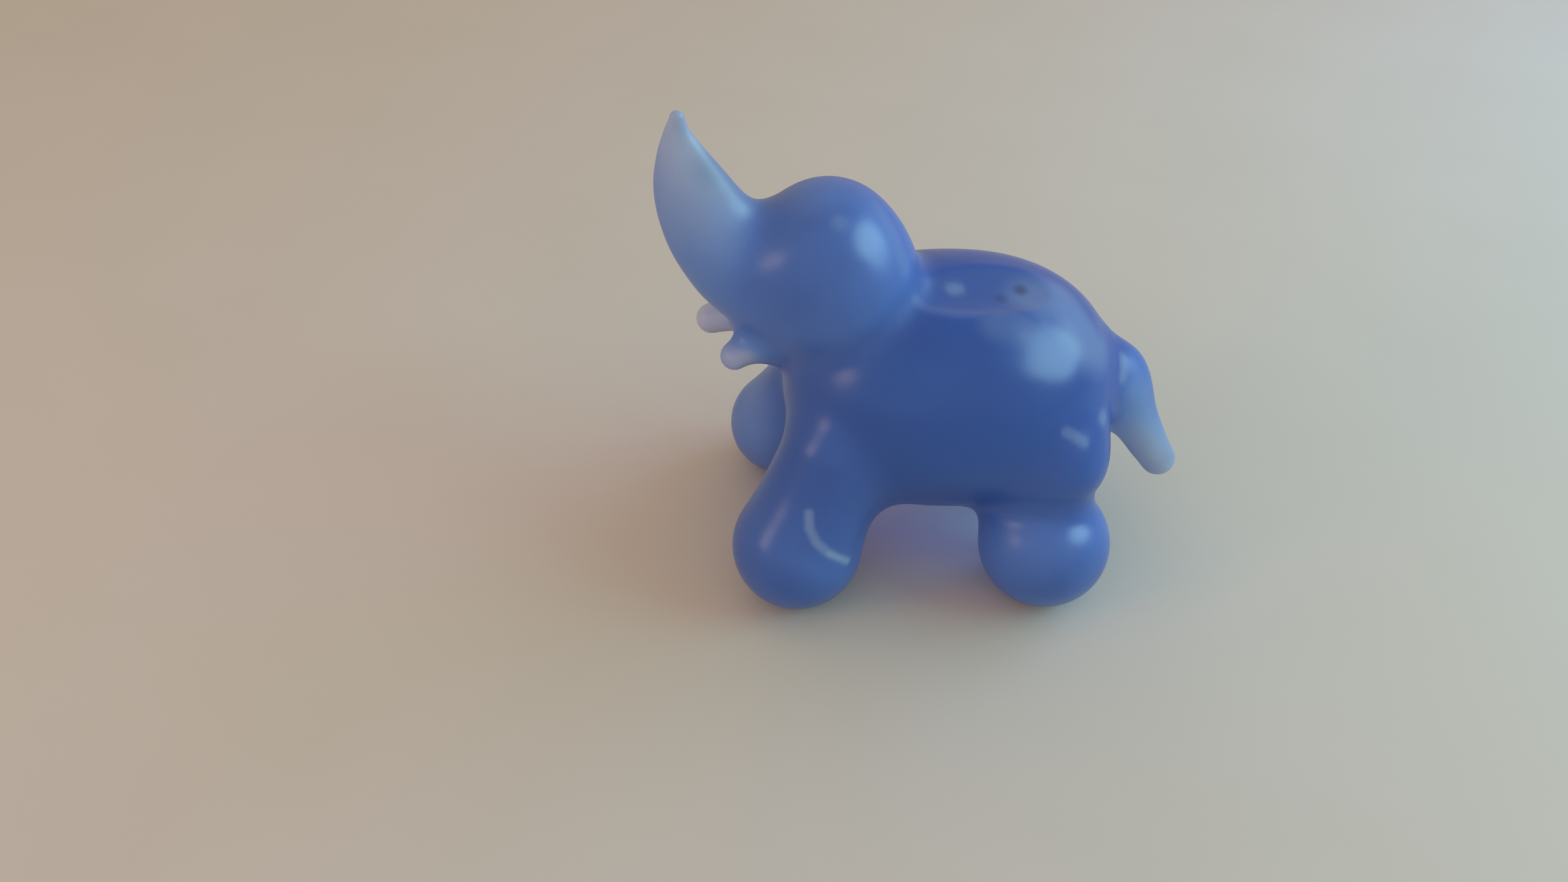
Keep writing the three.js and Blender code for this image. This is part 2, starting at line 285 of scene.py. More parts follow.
def sinkMark(piece, look):
    # presses the dish where the holding rod was, and paints how much of each vertex lies in it
    middle, lie = markPlace(look)
    radius = look["markWidth"] ** 2 / (8 * look["markDepth"]) + look["markDepth"] / 2
    stretch = look["markBallLength"] / 2 / radius
    down = lie @ Vector((0, 0, -1))
    rim = look["markRim"]
    mark = piece.data.attributes.new("mark", "FLOAT", "POINT")
    for vertex in piece.data.vertices:
        across = lie.inverted() @ (vertex.co - bodyMid - middle)
        if across.z < -radius / 2:  # on the far side of the body
            continue
        inside = radius - Vector((across.x / stretch, across.y, across.z - radius)).length
        soft = max(rim - abs(inside), 0) / rim
        vertex.co += down * (max(inside, 0) + soft * soft * rim / 4)
        mark.data[vertex.index].value = smoothStep(*(share * rim for share in look["markFade"]), inside)


body = makeBody(bodyLook)
sinkMark(body, bodyLook)
print("body drawn")

# Head: an upright ball on a short neck, drawn down into a small rounded muzzle

headLook = {
    "length": 10.3 * mm,
    "width": 10.2 * mm,
    "height": 11.2 * mm,
    "ahead": 8.45 * mm,
    "above": 9.3 * mm,
    "neckRadius": 4.7 * mm,
    "neckBehind": 1.45 * mm,
    "neckBelow": 2.6 * mm,
    "neckFillet": 2.5 * mm,
    "muzzleRadius": 2.55 * mm,
    "muzzleAhead": 3.2 * mm,
    "muzzleBelow": 4.9 * mm,
    "waistRadius": 12 * mm,
}
headMid = bodyMid + Vector((-headLook["ahead"], 0, headLook["above"]))
neckMid = headMid + Vector((headLook["neckBehind"], 0, -headLook["neckBelow"]))
muzzleMid = headMid + Vector((-headLook["muzzleAhead"], 0, -headLook["muzzleBelow"]))


def makeHead(look):
    lengthShare = look["length"] / look["width"]
    heightShare = look["height"] / look["width"]
    chin = muzzleMid - headMid
    chin = Vector((chin.x / lengthShare, 0, chin.z / heightShare))
    ball = look["width"] / 2
    muzzle = look["muzzleRadius"]
    piece = skittle("blue_glass_head", headMid, ball, headMid + chin, muzzle, look["waistRadius"])
    openMesh(piece)
    bpy.ops.transform.resize(value=(lengthShare, 1, heightShare), center_override=headMid)
    closeMesh()
    swellNeck(piece, look)
    return piece


def swellNeck(piece, look):
    # the lower back of the head's ball is drawn out over the ball of the neck
    own = skinOf(piece)
    for vertex in piece.data.vertices:
        place = vertex.co.copy()
        for turn in range(pulls):
            fromNeck = place - neckMid
            neckGap = fromNeck.length - look["neckRadius"], fromNeck.normalized()
            gap, away = blended(signedGap(own, place, look["length"]), neckGap, look["neckFillet"])
            place -= away * (gap / away.length_squared)
        vertex.co = place
    piece.data.update()


head = makeHead(headLook)
print("head drawn")

# Trunk: a broad horn, drawn forward and up out of the face

trunkLook = {
    "reach": 9.4 * mm,
    "rise": 10.1 * mm,
    "rootRadius": 3.95 * mm,
    "reachShares": [0.2, 0.53, 0.74, 0.858, 0.932, 0.972, 0.986, 0.98],
    "riseShares": [-0.1, -0.03, 0.18, 0.39, 0.59, 0.77, 0.897, 0.985],
    "radiusShares": [1, 0.925, 0.82, 0.715, 0.572, 0.375, 0.21, 0.12],
    "widthShares": [1, 0.95, 0.82, 0.68, 0.58, 0.55, 0.6, 0.8],
    "endSteps": 6,
    "easing": 12,  # how often each ring's turn is evened with its neighbours', so that no rings cross
}
trunk = horn("pale_glass_trunk", trunkLook, headMid, -1, 1)
print("trunk drawn")

# Tusks: two blunt nubs under the trunk, the right one drawn out further

tuskLook = {
    "rootRadius": 1.35 * mm,
    "rootAhead": 0.5 * mm,
    "rootAsideShare": 0.5,
    "spread": 4.8 * mm,
    "waistRadius": 12 * mm,
    "left": {"side": -1, "radius": 0.95 * mm, "ahead": 2.9 * mm, "drop": 0.85 * mm},
    "right": {"side": 1, "radius": 1.05 * mm, "ahead": 4.7 * mm, "drop": 1.1 * mm},
}


def makeTusk(name, look, tip):
    rootAside = tip["side"] * look["rootAsideShare"] * headLook["muzzleRadius"]
    root = muzzleMid + Vector((-look["rootAhead"], rootAside, 0))
    end = muzzleMid + Vector((-tip["ahead"], tip["side"] * look["spread"] / 2, -tip["drop"]))
    return skittle(name, root, look["rootRadius"], end, tip["radius"], look["waistRadius"])


tuskLeft = makeTusk("clear_glass_tusk_left", tuskLook, tuskLook["left"])
tuskRight = makeTusk("clear_glass_tusk_right", tuskLook, tuskLook["right"])
print("tusks drawn")

# Legs: a foot ball each, melted up into a smaller ball at the shoulder or the hip

legLook = {
    "padRadius": 1.25 * mm,
    "padRim": 0.03 * mm,
    "shoulder": {
        "radius": 3.85 * mm, "waist": 30 * mm,
        "ahead": 7.6 * mm, "aside": 5.0 * mm, "below": 2.6 * mm,
    },
    "hip": {
        "radius": 3.75 * mm, "waist": 2.4 * mm,
        "ahead": -6.95 * mm, "aside": 5.2 * mm, "below": 2.5 * mm,
    },
    "frontLeft": {"side": -1, "radius": 4.55 * mm, "ahead": 10.3 * mm, "aside": 7.05 * mm},
    "frontRight": {"side": 1, "radius": 4.1 * mm, "ahead": 11.45 * mm, "aside": 7.2 * mm},
    "rearLeft": {"side": -1, "radius": 4.55 * mm, "ahead": -7.05 * mm, "aside": 6.65 * mm},
    "rearRight": {"side": 1, "radius": 4.4 * mm, "ahead": -7.2 * mm, "aside": 6.75 * mm},
}


def makeLeg(name, look, leg, top):
    height = math.sqrt(leg["radius"] ** 2 - look["padRadius"] ** 2)
    foot = Vector((bodyMid.x - leg["ahead"], bodyMid.y + leg["side"] * leg["aside"], height))
    crest = bodyMid + Vector((-top["ahead"], leg["side"] * top["aside"], -top["below"]))
    piece = skittle(name, foot, leg["radius"], crest, top["radius"], top["waist"])
    rim = look["padRim"]
    for vertex in piece.data.vertices:  # the soft glass settles flat where it stands
        soft = max(rim - abs(vertex.co.z), 0) / rim
        vertex.co.z = max(vertex.co.z, 0) + soft * soft * rim / 4
    piece.data.update()
    return piece


legFrontLeft = makeLeg("blue_glass_leg_front_left", legLook, legLook["frontLeft"], legLook["shoulder"])
legFrontRight = makeLeg("blue_glass_leg_front_right", legLook, legLook["frontRight"], legLook["shoulder"])
legRearLeft = makeLeg("blue_glass_leg_rear_left", legLook, legLook["rearLeft"], legLook["hip"])
legRearRight = makeLeg("blue_glass_leg_rear_right", legLook, legLook["rearRight"], legLook["hip"])
print("legs drawn")

# Tail: a stub that leaves the rump broad and hangs back, with a round end

tailLook = {
    "reach": 16.15 * mm,
    "rise": 7.2 * mm,
    "rootRadius": 3.65 * mm,
    "reachShares": [0.6, 0.708, 0.842, 0.943, 1],
    "riseShares": [0.02, 0.1, 0.46, 0.81, 1],
    "radiusShares": [1, 0.9, 0.5, 0.385, 0.345],
    "widthShares": [0.8, 0.8, 0.95, 1, 1],
    "endSteps": 10,
    "easing": 30,
}
tail = horn("blue_glass_tail", tailLook, bodyMid, 1, -1)
print("tail drawn")

# Welds: where two gathers meet, both melt into one soft fillet

weldLook = {
    "head": (1.2 * mm, 1.2 * mm),  # how widely each crease is filled, low down and high up
    "trunk": (2.2 * mm, 2.2 * mm),
    "tusk": (1.3 * mm, 1.3 * mm),
    "front": (2.8 * mm, 1.4 * mm),
    "rear": (2.6 * mm, 1.8 * mm),
    "tail": (1.6 * mm, 1.6 * mm),
    "low": 7 * mm,  # heights where the first width ends and the second begins
    "high": 12 * mm,
    "reach": 5 * mm,
    "under": 0.5 * mm,  # how far each piece runs on under its neighbour's edge
    "fade": 1.4 * mm,
    "tuck": 0.02 * mm,  # how deep it lies there
    "tuckRun": 0.8 * mm,
    "sharpest": math.radians(40),
}
chains = [  # each chain is welded in this order onto the body
    [
        (head, weldLook["head"]), (trunk, weldLook["trunk"]),
        (tuskLeft, weldLook["tusk"]), (tuskRight, weldLook["tusk"]),
    ],
    [(legFrontLeft, weldLook["front"])],
    [(legFrontRight, weldLook["front"])],
    [(legRearLeft, weldLook["rear"])],
    [(legRearRight, weldLook["rear"])],
    [(tail, weldLook["tail"])],
]
gathers = [body] + [piece for chain in chains for piece, fillets in chain]


def weldedGap(gaps, height):
    # distance to the one skin that all the gathers make, and the way out of it
    share = smoothStep(weldLook["low"], weldLook["high"], height)
    best = None
    for chain in chains:
        gap = gaps[body.name]
        for piece, (low, high) in chain:
            other = gaps[piece.name]
            if gap is None or other is None:
                gap = gap or other
                continue
            gap = blended(gap, other, low + (high - low) * share)
        if gap and (best is None or gap[0] < best[0]):
            best = gap
    return best


def weldPiece(piece, skins):
    reach = weldLook["reach"]
    for vertex in piece.data.vertices:
        others = [signedGap(skins[other.name], vertex.co, reach) for other in gathers if other is not piece]
        buried = max((-gap[0] for gap in others if gap), default=-reach)
        hold = 1 - smoothStep(weldLook["under"], weldLook["under"] + weldLook["fade"], buried)
        if buried <= -reach or hold == 0:
            continue
        place = vertex.co.copy()
        for turn in range(pulls):
            gaps = {name: signedGap(skin, place, reach) for name, skin in skins.items()}
            gap, away = weldedGap(gaps, place.z)
            place -= away * (gap / away.length_squared)
        nearest = min(gap[0] for name, gap in gaps.items() if gap and name != piece.name)
        under = smoothStep(0, weldLook["tuckRun"], gaps[piece.name][0] - nearest)
        place -= away.normalized() * (under * weldLook["tuck"])
        vertex.co = vertex.co.lerp(place, hold)


def weldAll():
    skins = {piece.name: skinOf(piece) for piece in gathers}
    for piece in gathers:
        weldPiece(piece, skins)
        piece.data.update()
        only(piece)
        bpy.ops.object.shade_smooth_by_angle(angle=weldLook["sharpest"])


weldAll()
applyModifier(legFrontLeft, "SUBSURF", levels=1)  # finer, for the thin painted highlight streak in it
print("welds melted")

# Depth: how much glass lies behind each vertex, which is what turns the pale glass blue

depthLook = {
    "voxel": 0.5 * mm,
    "start": 0.3 * mm,
    "full": 18 * mm,
    "rays": 24,
    "widest": math.radians(60),
    "smoothing": 4,
    "neighbours": 6,
    "nearest": 0.1 * mm,  # keeps one neighbour from counting alone
    "shares": [  # paler or bluer glass: its way from the body's middle, how far off, its share of blue
        {"way": (-8.45, 0, 9.3), "low": 6.5 * mm, "high": 10.5 * mm, "share": 0.77},
        {"way": (1, 0, 0), "low": 10.3 * mm, "high": 12.8 * mm, "share": 0.68},
        {"way": (-10.3, -7.05, -8), "low": 9 * mm, "high": 13 * mm, "share": 1.14},
    ],
}


def oneLump(look):
    # a rough single skin of the whole animal, only measured and then removed
    bpy.ops.object.select_all(action="DESELECT")
    for piece in gathers:
        piece.select_set(True)
    bpy.context.view_layer.objects.active = body
    bpy.ops.object.duplicate()
    bpy.ops.object.join()
    lump = bpy.context.object
    applyModifier(lump, "REMESH", mode="VOXEL", voxel_size=look["voxel"])
    return lump


def lumpDepths(lump, look):
    # the mean way through the glass at each vertex, over a cone of directions, then evened out
    tree = skinOf(lump)
    golden = math.pi * (3 - math.sqrt(5))
    cone = []
    for i in range(look["rays"]):
        slant = Quaternion((1, 0, 0), look["widest"] * math.sqrt((i + 0.5) / look["rays"]))
        cone.append(Quaternion((0, 0, 1), i * golden) @ slant @ Vector((0, 0, 1)))
    depths = []
    for vertex in lump.data.vertices:
        aim = (-vertex.normal).to_track_quat("Z", "Y")
        start = vertex.co - vertex.normal * look["start"]
        hits = [tree.ray_cast(start, aim @ way)[3] for way in cone]
        found = [h + look["start"] for h in hits if h is not None]
        depths.append(min(sum(found) / len(found) / look["full"], 1) if found else 0)
    for turn in range(look["smoothing"]):
        sums, counts = depths[:], [1] * len(depths)
        for edge in lump.data.edges:
            a, b = edge.vertices
            sums[a] += depths[b]
            sums[b] += depths[a]
            counts[a] += 1
            counts[b] += 1
        depths = [total / count for total, count in zip(sums, counts)]
    return depths


def blueShare(place, look):
    share = 1
    for part in look["shares"]:
        along = (place - bodyMid).dot(Vector(part["way"]).normalized())
        share *= 1 - (1 - part["share"]) * smoothStep(part["low"], part["high"], along)
    return share


def paintDepth(look):
    lump = oneLump(look)
    depths = lumpDepths(lump, look)
    places = KDTree(len(depths))
    for vertex in lump.data.vertices:
        places.insert(vertex.co, vertex.index)
    places.balance()
    for piece in gathers:
        depth = piece.data.attributes.new("depth", "FLOAT", "POINT")
        for vertex in piece.data.vertices:
            found = places.find_n(vertex.co, look["neighbours"])
            near = [(depths[i], 1 / (away + look["nearest"]) ** 2) for place, i, away in found]
            total = sum(weight for value, weight in near)
            thick = sum(value * weight for value, weight in near) / total
            depth.data[vertex.index].value = thick * blueShare(vertex.co, look)
    bpy.data.objects.remove(lump)


paintDepth(depthLook)
print("depth painted")

# Painted highlights, painted shade and dull glass: pale painted highlights, reflections and lit patches on
# the skin, painted shade on the thin edges that face the window, and a weld that is less shiny, each along a
# line of places from the body's middle

# painted highlights, reflections and lit patches, laid on as pale colour
paintedLightLook = {
    # painted highlight: a thin curved streak of the window's light on the near front foot
    "footGlint": {
        "half": 0.5 * mm, "strength": 0.32,
        "line": [
            (-9.55, -9.5, -4.11), (-9.5, -9.96, -5.06), (-9.05, -10.33, -5.93),
            (-8.18, -10.44, -6.85), (-6.9, -9.89, -8.15),
        ],
    },
    # the brighter lower end of that painted highlight streak
    "footGlintEnd": {
        "half": 0.42 * mm, "strength": 0.5,
        "line": [(-8.18, -10.44, -6.85), (-6.9, -9.89, -8.15)],
    },
    # painted highlight in the dish's hollow
    "dishGlint": {
        "half": 0.8 * mm, "strength": 0.42,
        "line": [(-0.36, -1.5, 8.32), (-0.1, -1.4, 8.32)],
    },
    # painted rim light along the dish's near edge
    "dishRimLight": {
        "half": 0.6 * mm, "strength": 0.12,
        "line": [(-2.9, -3.0, 8.3), (-1.93, -3.5, 8.06), (-0.42, -3.84, 7.97), (1.2, -3.75, 7.93)],
    },
    # painted highlight: the faint tail of the window's highlight on the back
    "backHighlightTail": {
        "half": 1.9 * mm, "strength": 0.14,
        "line": [(2.24, -4.36, 7.65), (3.6, -4.3, 7.5)],
    },
    # painted light: a pale band between the back's highlight and the rump's outline
    "rumpLightBand": {
        "half": 2.8 * mm, "strength": 0.32,
        "line": [(4.92, -1.71, 7.74), (6.58, -1.35, 7.52), (7.69, -2.65, 6.51), (8.6, -3.4, 5.2)],
    },
    # painted highlight on the rump at the tail's root
    "rumpGlint": {
        "half": 0.7 * mm, "strength": 0.3,
        "line": [(11.54, -1.5, 2.78), (11.53, -2.35, 1.89)],
    },
    # painted highlight on the flank above the hind leg
    "flankGlint": {
        "half": 0.9 * mm, "strength": 0.25,
        "line": [(9.71, -5.55, 0.99)],
    },
    # painted highlights in a broken row on the flank above the hind leg
    "flankGlints": {
        "half": 0.6 * mm, "strength": 0.22,
        "line": [(6.91, -7.59, 1.41), (7.5, -7.6, 1.1), (8.24, -7.52, 0.49)],
    },
    # painted rim light down the head's right edge
    "headRimLight": {
        "half": 1.0 * mm, "strength": 0.13,
        "line": [(-5.54, -0.84, 13.83), (-4.38, -1.82, 12.25), (-3.67, -2.52, 10.49)],
    },
    # painted highlight: the small second glint on the head
    "headGlint": {
        "half": 0.9 * mm, "strength": 0.16,
        "line": [(-7.86, -2.85, 13.9)],
    },
    # painted light: the top of the head made paler, where light from above falls
    "crown": {
        "half": 2.6 * mm, "strength": 0.09,
        "line": [(-9.6, -0.6, 14.8), (-6.6, -0.6, 14.9)],
    },
    # painted highlight on the trunk
    "trunkGlint": {
        "half": 0.8 * mm, "strength": 0.2,
        "line": [(-15.36, -1.05, 15.15)],
    },
    # painted highlight in the notch between trunk and head
    "trunkRootGlint": {
        "half": 0.8 * mm, "strength": 0.2,
        "line": [(-13.54, -0.88, 13.6)],
    },
    # painted light: a paler lit patch along the tail
    "tailLitPatch": {
        "half": 1.9 * mm, "strength": 0.16,
        "line": [(12.4, -1.6, 0.6), (14.2, -1.2, -3.0)],
    },
    # painted light: a paler lit patch on the far front foot
    "farFootLitPatch": {
        "half": 3.6 * mm, "strength": 0.15,
        "line": [(-14.2, 4.9, -6.5), (-13.2, 5.0, -11.0)],
    },
}
# painted shade: the thin edges of the trunk and tail that face the window, darkened to hold back its light
paintedShadeLook = {
    "trunkEdge": {
        "half": 2.4 * mm, "strength": 0.42,
        "line": [(-15.6, 0.2, 16.2), (-14.2, 0.2, 15.0), (-12.8, 0.2, 14.2)],
    },
    "tailEdge": {
        "half": 1.7 * mm, "strength": 0.3,
        "line": [(14.6, -0.6, -0.5), (16.2, -0.6, -3.5), (16.9, -0.6, -6.0)],
    },
}
dullLook = {
    "napeWeld": {
        "half": 2.4 * mm, "strength": 0.35,
        "line": [(-3.0, -2.6, 8.6), (-4.6, -4.2, 7.9)],
    },
}
lineCore = 0.2  # share of the half width that is at full strength


def wayToLine(place, line):
    best = (place - line[0]).length
    for start, end in zip(line, line[1:]):
        share = (place - start).dot(end - start) / (end - start).length_squared
        best = min(best, (place - start.lerp(end, min(max(share, 0), 1))).length)
    return best


def paintLines(name, looks):
    lines = [[bodyMid + Vector(place) * mm for place in look["line"]] for look in looks.values()]
    for piece in gathers:
        share = piece.data.attributes.new(name, "FLOAT", "POINT")
        for vertex in piece.data.vertices:
            fades = [
                look["strength"] * (1 - smoothStep(lineCore, 1, wayToLine(vertex.co, line) / look["half"]))
                for look, line in zip(looks.values(), lines)
            ]
            share.data[vertex.index].value = max(fades)


# painted highlights and lit patches, painted shade and the dull weld, on every piece
paintLines("wisp", paintedLightLook)
paintLines("clear", paintedShadeLook)
paintLines("dull", dullLook)
print("highlights_and_shade painted")


# Glass

class Wire:
    # one output socket, so that sums and products of values read as maths
    def __init__(self, tree, socket=None):
        self.tree = tree
        self.socket = socket

    def node(self, kind, settings=None, sockets=None, output=0):
        made = self.tree.nodes.new(kind)
        for key, value in (settings or {}).items():
            if key == "stops":
                ramp = made.color_ramp
                while len(ramp.elements) < len(value):
                    ramp.elements.new(1)
                for element, (place, colour) in zip(ramp.elements, value):
                    element.position = place
                    element.color = (*colour, 1)
            else:
                setattr(made, key, value)
        for key, value in (sockets or {}).items():
            if isinstance(value, Wire):
                self.tree.links.new(value.socket, made.inputs[key])
            else:
                made.inputs[key].default_value = value
        return Wire(self.tree, made.outputs[output]) if made.outputs else None

    def maths(self, operation, a, b):
        return self.node("ShaderNodeMath", {"operation": operation}, {0: a, 1: b})

    def __add__(self, other):
        return self.maths("ADD", self, other)

    def __sub__(self, other):
        return self.maths("SUBTRACT", self, other)

    def __rsub__(self, other):
        return self.maths("SUBTRACT", other, self)

    def __mul__(self, other):
        return self.maths("MULTIPLY", self, other)

    def painted(self, name):
        # a value that was painted on the vertices
        return self.node("ShaderNodeAttribute", {"attribute_name": name}, output=2)

    def between(self, low, high):
        # 0 below low, 1 above high, and a soft step between them
        sockets = {"Value": self, "From Min": low, "From Max": high}
        return self.node("ShaderNodeMapRange", {"interpolation_type": "SMOOTHSTEP"}, sockets)

    def mixed(self, a, b):
        # colour a where this is 0 and b where it is 1
        return self.node("ShaderNodeMix", {"data_type": "RGBA"}, {0: self, 6: a, 7: b}, output=2)

    __radd__ = __add__
    __rmul__ = __mul__


glassLook = {
    "stops": [
        (0.0, (0.25, 0.31, 0.44)),
        (0.05, (0.33, 0.41, 0.56)),
        (0.11, (0.375, 0.475, 0.645)),
        (0.25, (0.24, 0.365, 0.62)),
        (0.38, (0.135, 0.27, 0.60)),
        (0.50, (0.079, 0.188, 0.53)),
        (0.62, (0.052, 0.138, 0.435)),
        (0.78, (0.040, 0.115, 0.40)),
        (0.92, (0.024, 0.098, 0.38)),
        (1.0, (0.02, 0.09, 0.37)),
    ],
    # pale colour of the painted highlights and lit patches
    "paintedLightColour": (0.40, 0.55, 0.70),
    # dark colour of the painted shade on the window side of the thin edges
    "paintedShadeColour": (0.11, 0.15, 0.26),
    "roughness": 0.27,
    "thinRoughness": 0.46,  # where the glass is drawn thin and blurs what it mirrors
    "thin": (0.12, 0.75),
    "ior": 1.5,
    "swirlScale": 160,  # per metre: soft clouds about 6 mm across
    "swirl": 0.05,  # share of the depth that the clouds add or take
    "waveScale": 260,
    "waveHeight": 0.15 * mm,
}


def startMaterial(name):
    material = bpy.data.materials.new(name)
    material.use_nodes = True
    material.node_tree.nodes.clear()
    return material, Wire(material.node_tree)


def milkyGlass(name, look, tint=None):
    material, start = startMaterial(name)
    place = start.node("ShaderNodeTexCoord", output=3)
    depth = start.painted("depth")
    swirl = start.node("ShaderNodeTexNoise", {}, {"Vector": place, "Scale": look["swirlScale"], "Detail": 3})
    clouded = depth + (swirl - 0.5) * (2 * look["swirl"])
    colour = start.node("ShaderNodeValToRGB", {"stops": look["stops"]}, {"Fac": clouded})
    # painted highlights, reflections and lit patches, mixed in as pale colour
    colour = start.painted("wisp").mixed(colour, (*look["paintedLightColour"], 1))
    # painted shade, mixed in as dark colour on the thin edges that face the window
    colour = start.painted("clear").mixed(colour, (*look["paintedShadeColour"], 1))
    if tint:
        colour = tint(start, place, depth, colour)
    gain = look["roughness"] - look["thinRoughness"]
    roughness = depth.between(*look["thin"]) * gain + look["thinRoughness"] + start.painted("dull")
    wave = start.node("ShaderNodeTexNoise", {}, {"Vector": place, "Scale": look["waveScale"], "Detail": 1})
    bump = start.node("ShaderNodeBump", {}, {"Height": wave, "Strength": 1, "Distance": look["waveHeight"]})
    glass = start.node("ShaderNodeBsdfPrincipled", {}, {
        "Base Color": colour,
        "Roughness": roughness,
        "IOR": look["ior"],
        "Normal": bump,
    })
    start.node("ShaderNodeOutputMaterial", {}, {"Surface": glass})
    return material


markLook = {
    "colour": (0.09, 0.17, 0.38),
    "share": 0.3,
    "speckColour": (0.008, 0.014, 0.03),
    "speckBlur": (0.2, 1.8),  # in the speck's radius
    "specks": [(2.77 * mm, 0.17 * mm, 0.42 * mm, 0.5), (1.22 * mm, -0.47 * mm, 0.38 * mm, 0.32)],
}


def markTint(start, place, depth, colour):
    # the greyer floor of the dish and the two dark specks in it
    colour = (start.painted("mark") * markLook["share"]).mixed(colour, (*markLook["colour"], 1))
    middle, lie = markPlace(bodyLook)
    for x, y, radius, strength in markLook["specks"]:
        centre = bodyMid + middle + lie @ Vector((x, y, 0))
        away = start.node("ShaderNodeVectorMath", {"operation": "DISTANCE"}, {0: place, 1: centre}, output=1)
        core, edge = (share * radius for share in markLook["speckBlur"])
        dark = (1 - away.between(core, edge)) * strength
        colour = dark.mixed(colour, (*markLook["speckColour"], 1))
    return colour


nubLook = {"colour": (0.62, 0.58, 0.62), "thin": (0.22, 0.42), "share": 0.42}


def nubTint(start, place, depth, colour):
    # the thin ends of the tusks are nearly clear, so the warm table shows in them
    thin = (1 - depth.between(*nubLook["thin"])) * nubLook["share"]
    return thin.mixed(colour, (*nubLook["colour"], 1))


glasses = {
    "glass_deep": milkyGlass("milky_blue_glass_body", glassLook, markTint),
    "glass_mid": milkyGlass("milky_blue_glass_head", glassLook),
    "glass_leg": milkyGlass("milky_blue_glass_leg", glassLook),
    "glass_tail": milkyGlass("milky_blue_glass_tail", glassLook),
    "glass_pale": milkyGlass("pale_milky_glass_trunk", glassLook),
    "glass_clear": milkyGlass("clear_milky_glass_tusk", glassLook, nubTint),
}
finishes = [
    (body, "body", "glass_deep"),
    (head, "head", "glass_mid"),
    (trunk, "trunk", "glass_pale"),
    (tuskLeft, "tusk_left", "glass_clear"),
    (tuskRight, "tusk_right", "glass_clear"),
    (legFrontLeft, "leg_front_left", "glass_leg"),
    (legFrontRight, "leg_front_right", "glass_leg"),
    (legRearLeft, "leg_rear_left", "glass_leg"),
    (legRearRight, "leg_rear_right", "glass_leg"),
    (tail, "tail", "glass_tail"),
]
for piece, node, slot in finishes:
    piece.data.materials.append(glasses[slot])
    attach(piece, "root")
    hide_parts(node)
print("glass finished")

# Table top that the figure stands on

floorLook = {
    "size": 1.2,
    "colour": (0.71, 0.62, 0.50),
    "mottle": (0.67, 0.58, 0.46),
    "mottleScale": 60,
    "roughness": 0.7,
}


def makeFloor(look):
    bpy.ops.object.select_all(action="DESELECT")
    bpy.ops.mesh.primitive_plane_add(size=look["size"], location=(0, 0, 0))
    floor = bpy.context.object
    floor.name = "table_top"
    material, start = startMaterial("pale_table")
    place = start.node("ShaderNodeTexCoord", output=3)
    noise = start.node("ShaderNodeTexNoise", {}, {"Vector": place, "Scale": look["mottleScale"], "Detail": 6})
    colour = noise.mixed((*look["mottle"], 1), (*look["colour"], 1))
    paper = start.node("ShaderNodeBsdfPrincipled", {}, {"Base Color": colour, "Roughness": look["roughness"]})
    start.node("ShaderNodeOutputMaterial", {}, {"Surface": paper})
    floor.data.materials.append(material)


makeFloor(floorLook)

# Light: a cool window on the right, a small warm lamp on the left, and a soft pale room

lightLook = {
    "room": (0.545, 0.462, 0.38),
    "away": 220 * mm,
    "lamps": {  # wide and high in degrees, as seen from the glass
        "window": {
            "from": (0.864, -0.137, 0.485), "wide": 36, "high": 30,
            "radiance": (0.8, 3.3, 4.2), "seen": False,
        },
        "windowEnd": {
            "from": (0.78, 0.4, 0.48), "wide": 36, "high": 30,
            "radiance": (1.1, 2.2, 4.4), "seen": False,
        },
        "windowGlint": {
            "from": (0.809, -0.202, 0.552), "wide": 48, "high": 36,
            "radiance": (3.0, 5.0, 4.8), "lights": False,
        },
        "warmLamp": {
            "from": (-0.86, -0.39, 0.34), "wide": 16, "high": 18,
            "radiance": (5.0, 2.0, 0.4), "seen": False,
        },
        "warmGlint": {
            "from": (-0.86, -0.39, 0.34), "wide": 10, "high": 12,
            "radiance": (8.0, 5.8, 4), "lights": False,
        },
        "fill": {
            "from": (-0.5, -0.7, 0.5), "wide": 75, "high": 55,
            "radiance": (0.05, 0.21, 0.54),
        },
    },
    "glow": {"below": 9.6 * mm, "long": 15 * mm, "wide": 9 * mm, "radiance": (0, 0.04, 0.4), "seen": False},
}


def addLight(name, place, towards, sizes, look):
    # a lamp may be left out of the reflections, or shine in them alone
    lightData = bpy.data.lights.new(name, "AREA")
    lightData.shape = "ELLIPSE"
    lightData.size, lightData.size_y = sizes
    strongest = max(look["radiance"])
    lightData.color = [c / strongest for c in look["radiance"]]
    lightData.energy = strongest * math.pi * (math.pi / 4 * lightData.size * lightData.size_y)
    light = bpy.data.objects.new(name, lightData)
    light.location = place
    light.rotation_mode = "QUATERNION"
    light.rotation_quaternion = towards.to_track_quat("Z", "Y")
    light.visible_camera = False
    light.visible_glossy = look.get("seen", True)
    light.visible_diffuse = look.get("lights", True)
    bpy.context.scene.collection.objects.link(light)


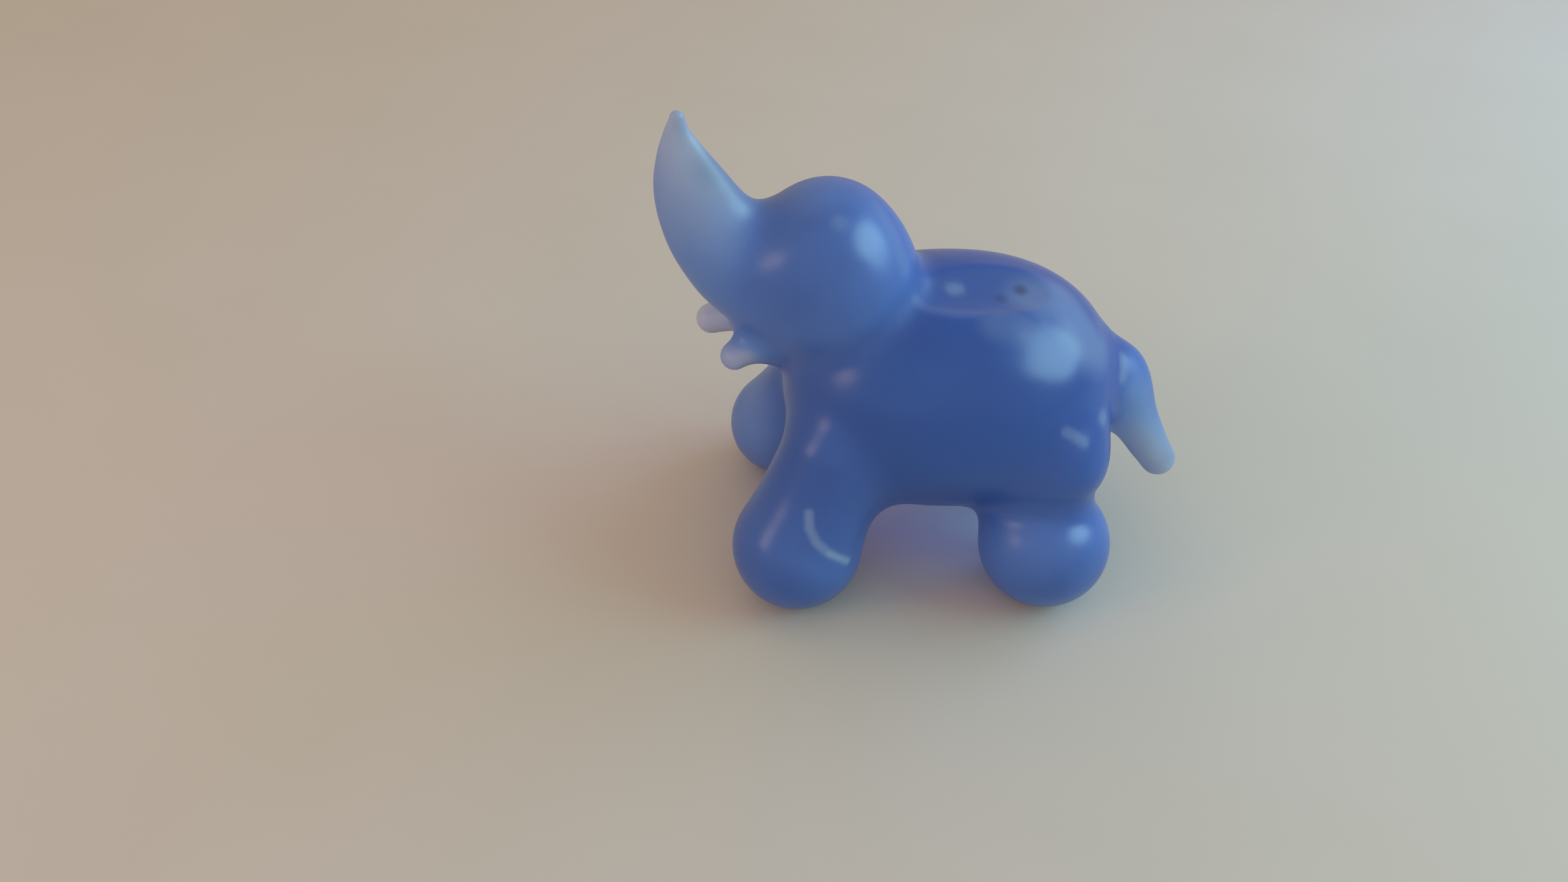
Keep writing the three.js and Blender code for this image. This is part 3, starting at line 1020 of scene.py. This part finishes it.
def addLamp(name, lamp, away):
    towards = Vector(lamp["from"]).normalized()
    sizes = [2 * away * math.tan(math.radians(lamp[side] / 2)) for side in ("wide", "high")]
    addLight(name, bodyMid + towards * away, towards, sizes, lamp)


def addGlow(look):
    # the blue light that comes down through the glass
    place = bodyMid - Vector((0, 0, look["below"]))
    addLight("glow_through_glass", place, Vector((0, 0, 1)), (look["long"], look["wide"]), look)


for name, lamp in lightLook["lamps"].items():
    addLamp(name, lamp, lightLook["away"])
addGlow(lightLook["glow"])
world = bpy.data.worlds.new("room")
bpy.context.scene.world = world
world.use_nodes = True
world.node_tree.nodes["Background"].inputs["Color"].default_value = (*lightLook["room"], 1)
print("stage lit")

# Camera: a phone held close over the animal's left side

cameraLook = {
    "photoWide": 2576,
    "photoHigh": 1449,
    "field": math.radians(66),
    "pitch": math.radians(40),
    "azimuth": math.radians(0.5),
    "distance": 84.1 * mm,
    "aimPixel": (1554, 617),  # where the point just above the body's middle shows in the photograph
    "aimAbove": 0.2 * mm,
    "sensor": 36,
}


def addCamera(look):
    pitch, azimuth = look["pitch"], look["azimuth"]
    flat = math.cos(pitch)
    back = Vector((math.sin(azimuth) * flat, -math.cos(azimuth) * flat, math.sin(pitch)))
    right = Vector((math.cos(azimuth), math.sin(azimuth), 0))
    up = back.cross(right)
    focal = look["photoWide"] / 2 / math.tan(look["field"] / 2)
    acrossShare = (look["aimPixel"][0] - look["photoWide"] / 2) / focal
    upShare = (look["photoHigh"] / 2 - look["aimPixel"][1]) / focal
    aim = bodyMid + Vector((0, 0, look["aimAbove"]))
    cameraData = bpy.data.cameras.new("phone")
    cameraData.sensor_width = look["sensor"]
    cameraData.lens = look["sensor"] / 2 / math.tan(look["field"] / 2)
    cameraData.clip_start = 1 * mm
    camera = bpy.data.objects.new("phone", cameraData)
    camera.location = aim + (back - right * acrossShare - up * upShare) * look["distance"]
    camera.rotation_mode = "QUATERNION"
    camera.rotation_quaternion = back.to_track_quat("Z", "Y")
    bpy.context.scene.collection.objects.link(camera)
    bpy.context.scene.camera = camera


addCamera(cameraLook)
bpy.context.scene.view_settings.view_transform = "Standard"
print("camera placed")
